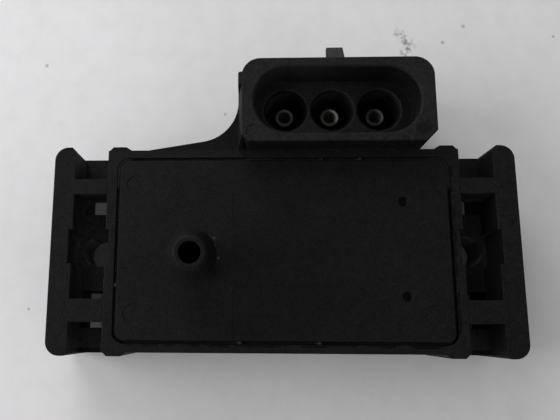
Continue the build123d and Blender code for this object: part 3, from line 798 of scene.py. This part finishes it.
circuit = {
    "ceramic_substrate": ("alumina", (0.78, 0.77, 0.72, 1), (0.66, 0.65, 0.6, 1), 1.2, 0.45, 41.0),
    "cell_rim": ("cell_plastic", (0.55, 0.53, 0.48, 1), (0.45, 0.43, 0.38, 1), 0.8, 0.5, 43.0),
    "chip_capacitors": ("capacitor_body", (0.3, 0.2, 0.12, 1), (0.22, 0.14, 0.08, 1), 0.3, 0.5, 45.0),
    "trim_resistors": ("resistor_film", (0.02, 0.03, 0.03, 1), (0.04, 0.05, 0.05, 1), 0.3, 0.3, 47.0),
    "amplifier_chip": ("bare_chip", (0.06, 0.06, 0.07, 1), (0.1, 0.1, 0.12, 1), 0.5, 0.15, 49.0),
    "sensor_die": ("silicon_die", (0.1, 0.1, 0.12, 1), (0.16, 0.15, 0.17, 1), 0.4, 0.12, 51.0),
}
for node_name, look in circuit.items():
    paint(node_name, ceramic(*look))

# %% [markdown]
# The die stands on a block of glass, and clear gel keeps moisture off it. Both could be drawn as
# half see-through, but real glass and gel bend the light, so the material transmits it and bends
# it by the index of refraction of borosilicate glass and of silicone.

# %% Glass and gel
def clear(name, colour, roughness, bending, seed):
    f = Finish(name)
    ripples = f.noise(1.5, 2.0, 0.5, seed=seed)
    shade = tuple(channel * 0.9 for channel in colour[:3]) + (1.0,)
    return f.surface(
        Base_Color=f.mix(ripples, colour, shade),
        Roughness=roughness + ripples * 0.03,
        Transmission_Weight=1.0,
        IOR=bending,
        Normal=f.bump(ripples, 0.02),
    )


paint("glass_pedestal", clear("borosilicate_glass", (0.9, 0.95, 0.93, 1), 0.04, 1.48, 57.0))
paint("cell_gel", clear("silicone_gel", (0.95, 0.95, 0.92, 1), 0.02, 1.41, 59.0))

# %% [markdown]
# ## The table
# The sensor lies on a pale table that is faintly stained, with a few crumbs and a smudge above
# the connector. A little light leaks under the ears and lights the table there. To catch that,
# the gap under the part would have to be exact, so small patches of the table glow instead. Out
# of the picture the table turns darker, so that it throws less light on the sides of the part.

# %% Stains, crumbs and a smudge
GROUND = cad_low.z / MM
stain_free = (0.84, 0.83, 0.845, 1)
stained = (0.74, 0.725, 0.735, 1)
large_crumbs = [(-38.3, 32.4), (30.8, 38.5), (27.3, 35.7)]
small_crumbs = [(-8.4, 23.6), (-38.8, -7.9), (45.2, 36.5)]
smudge_places = [(20.3, 37.4), (20.9, 36.2), (22.0, 35.4), (21.2, 34.0)]
leaks = [
    ((-28.4, 8.0), 2.6, 0.028),
    ((28.8, 7.9), 2.6, 0.01),
    ((-28.5, -5.7), 1.6, 0.018),
    ((-28.3, -10.4), 1.6, 0.04),
]


def table_spots(f, places, radius):
    return spots(f, [(*place, GROUND) for place in places], radius)


def table_top():
    f = Finish("pale_table")
    x, y, _ = f.axes(f.mm)
    out_of_picture = ((x ** 2 + y ** 2) ** 0.5).ramp(90.0, 240.0, 0.0, 0.62)
    smears = f.noise(22.0, 4.0, 0.6, stretch=(1.0, 0.5, 1.0), seed=61.0).ramp(0.3, 0.75)
    grain = f.noise(0.6, 3.0, 0.6, seed=62.0)
    cloudy = f.noise(3.0, 3.0, 0.6, seed=63.0).ramp(0.4, 0.7)
    ragged = f.noise(0.9, 4.0, 0.7, seed=64.0).ramp(0.42, 0.62)
    crumbs = table_spots(f, large_crumbs, 0.42) + table_spots(f, small_crumbs, 0.32)
    dirt = crumbs * 0.4 + table_spots(f, smudge_places, 1.3) * ragged * 0.5
    clean = f.mix(smears * 0.5 + grain * 0.2 + cloudy * 0.25, stain_free, stained)
    leaked = sum(table_spots(f, [place], radius) * level for place, radius, level in leaks)
    return f.surface(
        Base_Color=f.mix(out_of_picture, f.mix(dirt, clean, grey(0.06)), grey(0.12)),
        Roughness=0.75 + smears * 0.1,
        Normal=f.bump(grain, 0.01),
        Specular_IOR_Level=0.2,
        Emission_Color=leaked.tinted(),
        Emission_Strength=1.0,
    )


print("Crumbs on the table:", len(large_crumbs) + len(small_crumbs))

# %% [markdown] The table itself is one square, much larger than the picture. A box would do
# too, but only its top would ever show.

# %% Table
TABLE_HALF = 1200
half = TABLE_HALF * MM
corners = [(-half, -half), (half, -half), (half, half), (-half, half)]
table_mesh = bpy.data.meshes.new("table")
table_mesh.from_pydata([(*corner, cad_low.z) for corner in corners], [], [(0, 1, 2, 3)])
table_mesh.materials.append(table_top())
table = bpy.data.objects.new("table", table_mesh)
bpy.context.scene.collection.objects.link(table)
print("Table is", 2 * TABLE_HALF, "mm wide, at a height of", GROUND, "mm")

# %% [markdown]
# ## Light
# The light in the room comes from low windows at the left and at the back, so soft shadows fall
# to the lower right. A picture of a room could light it, but two round lamps and an even room
# are easier to tune. Each was rendered alone, and their strengths were fitted to the levels in the
# photograph. The room is bright around the horizon and dim overhead, and the dim part keeps the
# black tops from turning grey with reflections.

# %% Lamps
LAMP_WIDTH = 200
part_middle = Vector((0, 0, 0))


def lamp(name, place, watts):
    """A round white lamp that faces the part."""
    data = bpy.data.lights.new(name, "AREA")
    data.shape = "DISK"
    data.size = LAMP_WIDTH * MM
    data.energy = watts
    made = bpy.data.objects.new(name, data)
    bpy.context.scene.collection.objects.link(made)
    made.location = Vector(place) * MM
    made.rotation_euler = (part_middle - Vector(place)).to_track_quat("-Z", "Y").to_euler()
    print(name, "shines with", watts, "W")


lamp("left_window", (-254, 0, 159), 0.419)
lamp("back_window", (-95, 236, 159), 0.339)

# %% [markdown]
# The room's light depends on how high a ray looks, from 0 at the horizon to 1 overhead. One
# smooth step between two strengths is enough for a room, and it needs no picture.

# %% The bright room and its dim ceiling
ROOM_LIGHT = 0.48
CEILING_LIGHT = 0.18
CEILING_STARTS = 0.74
CEILING_FULL = 0.86

world = bpy.data.worlds.new("room")
bpy.context.scene.world = world
world.use_nodes = True
room = Graph(world.node_tree)
upwards = room.axes(room.node("TexCoord").part("Generated"))[2]
strength = upwards.ramp(CEILING_STARTS, CEILING_FULL, ROOM_LIGHT, CEILING_LIGHT)
background = world.node_tree.nodes["Background"]
room.plug(background, "Color", (1.0, 1.0, 1.0, 1.0))
room.plug(background, "Strength", strength)
bpy.context.scene.view_settings.view_transform = "Standard"
print("Room light:", ROOM_LIGHT, "at the sides and", CEILING_LIGHT, "overhead")

# %% [markdown] ## The two boxes The finished object has to be as large as the CAD model, or the
# two can't be used together.
